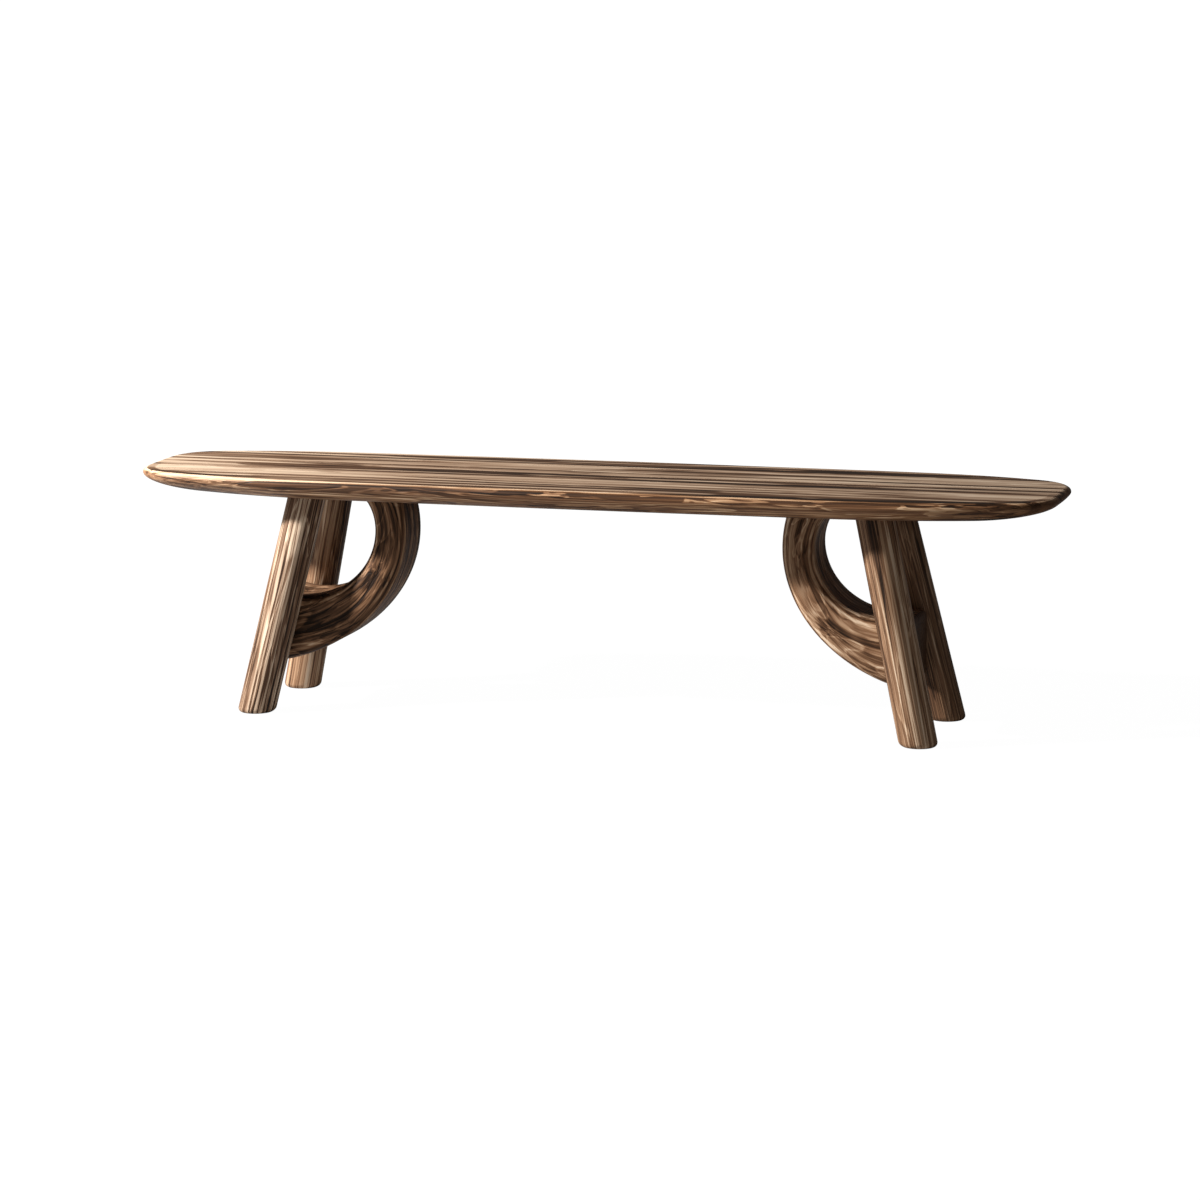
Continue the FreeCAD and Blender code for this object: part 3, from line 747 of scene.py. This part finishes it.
class BENCH_OT_seat(bpy.types.Operator):
    """Build the five boards of the seat"""

    bl_idname = "bench.seat"
    bl_label = "Seat"

    def execute(self, context):
        seat = context.scene.bench_seat
        make_woods()
        pitch = (seat.width + 2 * seat.edge_narrowing) / len(BOARDS)
        seams = [pitch * (number - len(BOARDS) / 2 + 1) for number in range(len(BOARDS) - 1)]
        shell = seat_shell(seat)
        roughen_seat(shell, seat)
        for place in seams:
            cut_seam(shell, place, seat)
        for number, (name, shift, tone) in enumerate(BOARDS):
            low = seams[number - 1] if number > 0 else None
            high = seams[number] if number < len(seams) else None
            board = part_board(shell, low, high)
            mesh = bpy.data.meshes.new("board_" + name)
            board.to_mesh(mesh)
            board.free()
            finish_mesh(mesh, BOARD_SHARP)
            store_grain(mesh, shift, tone)
            mesh.materials.append(bpy.data.materials["seat"])
            piece = bpy.data.objects.new("board_" + name, mesh)
            keep_piece(piece, "seat_board_" + name)
        shell.free()
        return {"FINISHED"}


# The legs and braces, each worked out from a round bar by a node tree

def new_tree(name, vectors, floats):
    """A geometry tree with named inputs, and the links that carry them."""
    kinds = {label: "NodeSocketVector" for label in vectors}
    kinds.update({label: "NodeSocketFloat" for label in floats})
    kinds.update({"Around": "NodeSocketInt", "Along": "NodeSocketInt", "Material": "NodeSocketMaterial"})
    tree = bpy.data.node_groups.new(name, "GeometryNodeTree")
    tree.is_modifier = True
    for label, kind in kinds.items():
        tree.interface.new_socket(label, in_out="INPUT", socket_type=kind)
    tree.interface.new_socket("Geometry", in_out="OUTPUT", socket_type="NodeSocketGeometry")
    g = Graph(tree)
    return g, dict(zip(kinds, g.add("NodeGroupInput", out=tuple(kinds))))


def close_tree(g, geometry, material):
    realized = g.add("GeometryNodeRealizeInstances", None, {"Geometry": geometry})
    painted = g.add("GeometryNodeSetMaterial", None, {"Geometry": realized, "Material": material})
    g.add("NodeGroupOutput", None, {"Geometry": painted})


def run_tree(name, tree, values):
    """A plain mesh from a tree whose inputs have these values."""
    piece = bpy.data.objects.new(name, bpy.data.meshes.new(name))
    bpy.context.scene.collection.objects.link(piece)
    modifier = piece.modifiers.new(name, "NODES")
    modifier.node_group = tree
    for item in tree.interface.items_tree:
        if item.item_type == "SOCKET" and item.in_out == "INPUT":
            modifier[item.identifier] = values[item.name]
    depsgraph = bpy.context.evaluated_depsgraph_get()
    mesh = bpy.data.meshes.new_from_object(piece.evaluated_get(depsgraph), depsgraph=depsgraph)
    bpy.data.objects.remove(piece)
    mesh.name = name
    return bpy.data.objects.new(name, mesh)


def bar(g, around, along):
    """A round bar of radius 1, with its places and its share of the way up."""
    geometry = g.add("GeometryNodeMeshCylinder", {"fill_type": "NGON"}, {
        "Vertices": around, "Side Segments": along, "Radius": 1.0, "Depth": 1.0}, "Mesh")
    x, y, z = g.split(g.add("GeometryNodeInputPosition"))
    return geometry, x, y, z + 0.5


def store(g, geometry, kind, name, value):
    return g.add("GeometryNodeStoreNamedAttribute", {"data_type": kind, "domain": "POINT"}, {
        "Geometry": geometry, "Name": name, "Value": value})


def grain_relief(g, grain, depth):
    """How deep the brushed grain is sunk at a place."""
    ridges = g.noise(grain, (2.4, 120.0, 120.0), 2.0)
    waves = g.noise(grain, (5.0, 28.0, 28.0), 1.0)
    return depth * (ridges * 0.45 + waves * 0.55)


def leg_tree():
    """A leaning round leg, cut level at both ends, with a rounded foot."""
    g, given = new_tree("leg", ("Foot", "Top", "Grain Shift"), ("Radius", "Foot Rounding", "Relief", "Tone"))
    geometry, x, y, share = bar(g, given["Around"], given["Along"])
    rise = g.vector_math("SUBTRACT", given["Top"], given["Foot"])
    lean = g.vector_math("NORMALIZE", rise)
    across = g.vector_math("NORMALIZE", g.vector_math("CROSS_PRODUCT", lean, (0.0, 1.0, 0.0)))
    square = g.vector_math("CROSS_PRODUCT", lean, across)
    tall = g.split(rise)[2]
    # rings lie closer together towards the rounded foot
    way = share * 0.3 + share * share * 0.7
    height = way * tall
    left_over = 1.0 - g.math("MINIMUM", height / given["Foot Rounding"], 1.0)
    curled = 1.0 - g.root(1.0 - left_over * left_over)
    grain = g.join(height, x * given["Radius"], y * given["Radius"])
    grain = g.vector_math("ADD", grain, given["Grain Shift"])
    radius = given["Radius"] - given["Foot Rounding"] * curled - grain_relief(g, grain, given["Relief"])
    radial = g.vector_math("ADD", g.scale(across, x * radius), g.scale(square, y * radius))
    level = g.split(radial)[2] / g.split(lean)[2]
    radial = g.vector_math("SUBTRACT", radial, g.scale(lean, level))
    centre = g.vector_math("ADD", given["Foot"], g.scale(rise, way))
    place = g.vector_math("ADD", centre, radial)
    geometry = store(g, geometry, "FLOAT_VECTOR", GRAIN, grain)
    geometry = store(g, geometry, "FLOAT", TONE, given["Tone"])
    geometry = g.add("GeometryNodeSetPosition", None, {"Geometry": geometry, "Position": place})
    close_tree(g, geometry, given["Material"])
    return g.tree


def leg_ends(context, side, row):
    """The foot and the top of a leg's axis."""
    seat = context.scene.bench_seat
    leg = context.scene.bench_leg
    top_x = seat.length / 2 - leg.end_inset
    top_y = leg.spacing / 2
    foot = Vector((side * (top_x + leg.splay_x), row * (top_y + leg.splay_y), 0))
    top = Vector((side * top_x, row * top_y, seat.height - seat.thickness))
    return foot, top


class BENCH_OT_legs(bpy.types.Operator):
    """Build the four round splayed legs"""

    bl_idname = "bench.legs"
    bl_label = "Legs"

    def execute(self, context):
        leg = context.scene.bench_leg
        make_woods()
        tree = leg_tree()
        for name, side, row, shift, tone in LEGS:
            foot, top = leg_ends(context, side, row)
            top += (top - foot) * TUCK / top.z
            piece = run_tree("round_leg_" + name, tree, {
                "Foot": foot, "Top": top, "Radius": leg.diameter / 2,
                "Foot Rounding": leg.foot_rounding, "Relief": leg.relief, "Grain Shift": shift, "Tone": tone,
                "Around": LEG_MESH[0], "Along": LEG_MESH[1], "Material": bpy.data.materials["leg"]})
            finish_mesh(piece.data, BAR_SHARP)
            keep_piece(piece, "leg_" + name)
        return {"FINISHED"}


def brace_tree():
    """A horn with a rounded oblong section along a quarter of an ellipse and a little more."""
    g, given = new_tree("brace", ("Leg Foot", "Leg Top", "Grain Shift"), (
        "Side", "Underside", "Centre X", "Centre Z", "Reach", "Drop", "Head Angle", "Top Depth",
        "Waist Depth", "End Depth", "Waist Share", "Top Width", "End Width", "Edge Radius",
        "End Rounding", "Relief", "Cope Radius", "Tone"))
    # a turn of the bar is a turn of the section, and its length is the way down the curve
    geometry, x, y, share = bar(g, given["Around"], given["Along"])
    down = 1.0 - share
    way = 1.0 - g.math("POWER", 1.0 - down, 1.5)
    sweep = math.pi / 2 - given["Head Angle"]

    # the head is level, so each fibre starts at its own angle
    head_cos = g.math("COSINE", given["Head Angle"])
    head_sin = g.math("SINE", given["Head Angle"])
    head_x = given["Reach"] * head_sin
    head_z = given["Drop"] * head_cos
    head_run = g.math("SQRT", head_x * head_x + head_z * head_z)
    lean = head_x / head_run / head_z
    early = given["Top Depth"] / 2.0 * x * lean * (1.0 - down) ** 2.0
    along = way + early / sweep

    before = (given["Waist Share"] - along) / given["Waist Share"]
    after = (along - given["Waist Share"]) / (1.0 - given["Waist Share"])
    above = g.math("MAXIMUM", before, 0.0)
    below = g.math("MAXIMUM", after, 0.0)
    depth = given["Waist Depth"] + above * above * (given["Top Depth"] - given["Waist Depth"])
    depth = depth + below * below * (given["End Depth"] - given["Waist Depth"])
    width = given["Top Width"] + along * (given["End Width"] - given["Top Width"])

    # the section shrinks inside the rounding of the end
    to_end = (1.0 - way) * sweep * given["Reach"]
    short = 1.0 - g.math("MINIMUM", to_end / given["End Rounding"], 1.0)
    inset = given["End Rounding"] * (1.0 - g.root(1.0 - short * short))
    half_x = depth / 2.0 - inset
    half_y = width / 2.0 - inset
    radius = given["Edge Radius"] - inset

    # where a ray from the middle meets a rounded oblong
    ray_x = x * half_x
    ray_y = y * half_y
    ray = g.math("SQRT", ray_x * ray_x + ray_y * ray_y)
    ray_x = ray_x / ray
    ray_y = ray_y / ray
    toward_x = g.math("MAXIMUM", abs(ray_x), 0.0001)
    toward_y = g.math("MAXIMUM", abs(ray_y), 0.0001)
    flat_x = half_x - radius
    flat_y = half_y - radius
    to_flat = g.math("MINIMUM", half_x / toward_x, half_y / toward_y)
    in_corner = g.math("GREATER_THAN", to_flat * toward_x, flat_x)
    in_corner = in_corner * g.math("GREATER_THAN", to_flat * toward_y, flat_y)
    reach = toward_x * flat_x + toward_y * flat_y
    room = reach * reach - flat_x * flat_x - flat_y * flat_y + radius * radius
    to_corner = reach + g.root(room)
    to_skin = to_flat + (to_corner - to_flat) * in_corner
    rim = g.math("MINIMUM", to_skin * toward_x / half_x, to_skin * toward_y / half_y)

    angle = given["Head Angle"] + along * sweep
    grain = g.join(way * sweep * given["Reach"], ray_x * to_skin, ray_y * to_skin)
    grain = g.vector_math("ADD", grain, given["Grain Shift"])
    to_skin = to_skin - grain_relief(g, grain, given["Relief"])
    off_x = ray_x * to_skin
    off_y = ray_y * to_skin

    run_x = given["Reach"] * g.math("SINE", angle)
    run_z = given["Drop"] * g.math("COSINE", angle)
    run = g.math("SQRT", run_x * run_x + run_z * run_z)
    run_x = run_x / run
    run_z = run_z / run
    place_x = given["Centre X"] - given["Reach"] * g.math("COSINE", angle) + off_x * run_z
    place_z = given["Centre Z"] - given["Drop"] * g.math("SINE", angle) + off_x * run_x
    settle = (place_z - given["Underside"]) / run_z * (1.0 - down) ** 8.0
    place_x = place_x + run_x * settle
    place_z = g.math("MINIMUM", place_z - run_z * settle, given["Underside"])

    # the end is coped to the leg on either side
    leg_line = g.vector_math("NORMALIZE", g.vector_math("SUBTRACT", given["Leg Foot"], given["Leg Top"]))
    from_top = g.vector_math("SUBTRACT", g.join(place_x, abs(off_y), place_z), given["Leg Top"])
    along_leg = g.vector_math("DOT_PRODUCT", from_top, leg_line, out="Value")
    from_line = g.vector_math("SUBTRACT", from_top, g.scale(leg_line, along_leg))
    clear = g.vector_math("LENGTH", from_line, out="Value")
    push = g.math("MAXIMUM", given["Cope Radius"] - clear, 0.0)
    push_x, push_y, push_z = g.split(g.scale(g.vector_math("NORMALIZE", from_line), push))
    place_x = place_x + push_x
    place_z = place_z + push_z
    place_y = off_y + push_y * g.math("SIGN", off_y)

    place = g.join(place_x * given["Side"], place_y * given["Side"], place_z)
    geometry = store(g, geometry, "FLOAT_VECTOR", GRAIN, grain)
    geometry = store(g, geometry, "FLOAT", TONE, given["Tone"])
    geometry = store(g, geometry, "FLOAT", RIM, rim)
    geometry = store(g, geometry, "FLOAT", END, short)
    geometry = g.add("GeometryNodeSetPosition", None, {"Geometry": geometry, "Position": place})
    close_tree(g, geometry, given["Material"])
    return g.tree


class BENCH_OT_braces(bpy.types.Operator):
    """Build the two curved braces"""

    bl_idname = "bench.braces"
    bl_label = "Braces"

    def execute(self, context):
        seat = context.scene.bench_seat
        brace = context.scene.bench_brace
        make_woods()
        tree = brace_tree()
        foot, top = leg_ends(context, 1, 1)
        underside = seat.height - seat.thickness
        at_end = foot.lerp(top, brace.end_height / underside)
        centre_z = brace.end_height + brace.drop
        for name, side, shift, tone in BRACES:
            piece = run_tree("curved_brace_" + name, tree, {
                "Side": float(side), "Underside": underside,
                "Centre X": at_end.x + brace.past_leg, "Centre Z": centre_z,
                "Reach": brace.reach, "Drop": brace.drop,
                "Head Angle": math.asin((centre_z - underside) / brace.drop),
                "Top Depth": brace.top_depth, "Waist Depth": brace.waist_depth,
                "End Depth": brace.end_depth, "Waist Share": WAIST_SHARE,
                "Top Width": brace.top_width, "End Width": brace.end_width,
                "Edge Radius": brace.edge_radius, "End Rounding": brace.end_rounding,
                "Relief": brace.relief, "Leg Foot": foot, "Leg Top": top,
                "Cope Radius": context.scene.bench_leg.diameter / 2, "Grain Shift": shift, "Tone": tone,
                "Around": BRACE_MESH[0], "Along": BRACE_MESH[1],
                "Material": bpy.data.materials["brace"]})
            finish_mesh(piece.data, BAR_SHARP)
            keep_piece(piece, "brace_" + name)
        return {"FINISHED"}


class BENCH_OT_joinery(bpy.types.Operator):
    """Finish the hidden splines, tenons and dowels"""

    bl_idname = "bench.joinery"
    bl_label = "Joinery"

    def execute(self, context):
        make_woods()
        for name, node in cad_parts.items():
            if "spline" in name or "tenon" in name or "dowels" in name:
                node.data.materials.clear()
                node.data.materials.append(bpy.data.materials["joinery"])
        return {"FINISHED"}


# The studio

def make_floor():
    """A wide grey floor that light bounces off, and that the camera sees as nearly white."""
    material = bpy.data.materials.new("floor")
    g = shader_graph(material)
    seen = g.add("ShaderNodeLightPath", out="Is Camera Ray")
    place = g.add("ShaderNodeTexCoord", out="Object")
    away = g.band(g.vector_math("LENGTH", place, out="Value"), 1.2, 4.5)
    paint = g.add("ShaderNodeBsdfDiffuse", None, {"Color": (*[FLOOR_PAINT] * 3, 1)}, "BSDF")
    white = g.add("ShaderNodeEmission", None, {"Color": (1, 1, 1, 1), "Strength": FLOOR_GLOW}, "Emission")
    share = seen * (0.9 + away * 0.1)
    mixed = g.add("ShaderNodeMixShader", None, {"Fac": share, 1: paint, 2: white})
    g.add("ShaderNodeOutputMaterial", None, {"Surface": mixed})
    mesh = bpy.data.meshes.new("floor")
    corners = [(x * FLOOR_HALF, y * FLOOR_HALF, 0) for x, y in ((-1, -1), (1, -1), (1, 1), (-1, 1))]
    mesh.from_pydata(corners, [], [(0, 1, 2, 3)])
    mesh.materials.append(material)
    floor = bpy.data.objects.new("floor", mesh)
    bpy.context.scene.collection.objects.link(floor)


def make_lamp(power):
    """A small square lamp at the front left, high up, that points at the middle of the bench."""
    lamp = bpy.data.lights.new("key", "AREA")
    lamp.shape = "SQUARE"
    lamp.size = LAMP_SIZE
    lamp.energy = power
    stand = bpy.data.objects.new("key", lamp)
    stand.location = LAMP_PLACE
    stand.rotation_euler = (Vector(LAMP_AIM) - stand.location).to_track_quat("-Z", "Y").to_euler()
    bpy.context.scene.collection.objects.link(stand)


def make_sky(strength):
    """Even light from all round, which the camera sees as white."""
    sky = bpy.data.worlds.new("studio")
    g = shader_graph(sky)
    seen = g.add("ShaderNodeLightPath", out="Is Camera Ray")
    glow = strength + seen * (1.0 - strength)
    light = g.add("ShaderNodeBackground", None, {"Color": (1, 1, 1, 1), "Strength": glow})
    g.add("ShaderNodeOutputWorld", None, {"Surface": light})
    bpy.context.scene.world = sky


def make_camera(studio):
    data = bpy.data.cameras.new("camera")
    data.sensor_width = SENSOR
    data.lens = studio.lens
    data.shift_x, data.shift_y = PICTURE_SHIFT
    data.clip_start, data.clip_end = CLIP
    camera = bpy.data.objects.new("camera", data)
    aim = Vector((0, 0, studio.aim_height))
    place = Vector((
        math.sin(studio.turn) * studio.distance, -math.cos(studio.turn) * studio.distance, studio.eye_height))
    camera.rotation_mode = "QUATERNION"
    camera.rotation_quaternion = (aim - place).to_track_quat("-Z", "Y") @ Quaternion((0, 0, 1), studio.roll)
    camera.location = place
    bpy.context.scene.collection.objects.link(camera)
    bpy.context.scene.camera = camera


class BENCH_OT_studio(bpy.types.Operator):
    """Set up the floor, the lamp, the even light and the camera"""

    bl_idname = "bench.studio"
    bl_label = "Studio"

    def execute(self, context):
        studio = context.scene.bench_studio
        make_floor()
        make_lamp(studio.key_power)
        make_sky(studio.sky)
        make_camera(studio)
        context.scene.view_settings.view_transform = "Standard"
        return {"FINISHED"}


class BENCH_PT_sidebar(bpy.types.Panel):
    bl_label = "Long Bench"
    bl_space_type = "VIEW_3D"
    bl_region_type = "UI"
    bl_category = "Bench"

    def draw(self, context):
        for operator in OPERATORS:
            self.layout.operator(operator.bl_idname)
        for name, settings in SETTINGS:
            box = self.layout.box()
            for key in settings.__annotations__:
                box.prop(getattr(context.scene, name), key)


OPERATORS = (BENCH_OT_seat, BENCH_OT_legs, BENCH_OT_braces, BENCH_OT_joinery, BENCH_OT_studio)


def register():
    for name, settings in SETTINGS:
        bpy.utils.register_class(settings)
        setattr(bpy.types.Scene, name, bpy.props.PointerProperty(type=settings))
    for operator in OPERATORS:
        bpy.utils.register_class(operator)
    bpy.utils.register_class(BENCH_PT_sidebar)


def unregister():
    bpy.utils.unregister_class(BENCH_PT_sidebar)
    for operator in reversed(OPERATORS):
        bpy.utils.unregister_class(operator)
    for name, settings in reversed(SETTINGS):
        delattr(bpy.types.Scene, name)
        bpy.utils.unregister_class(settings)


def main():
    register()
    bpy.ops.bench.seat()
    bpy.ops.bench.legs()
    bpy.ops.bench.braces()
    bpy.ops.bench.joinery()
    bpy.ops.bench.studio()
    bpy.context.view_layer.update()


if __name__ == "__main__":
    main()
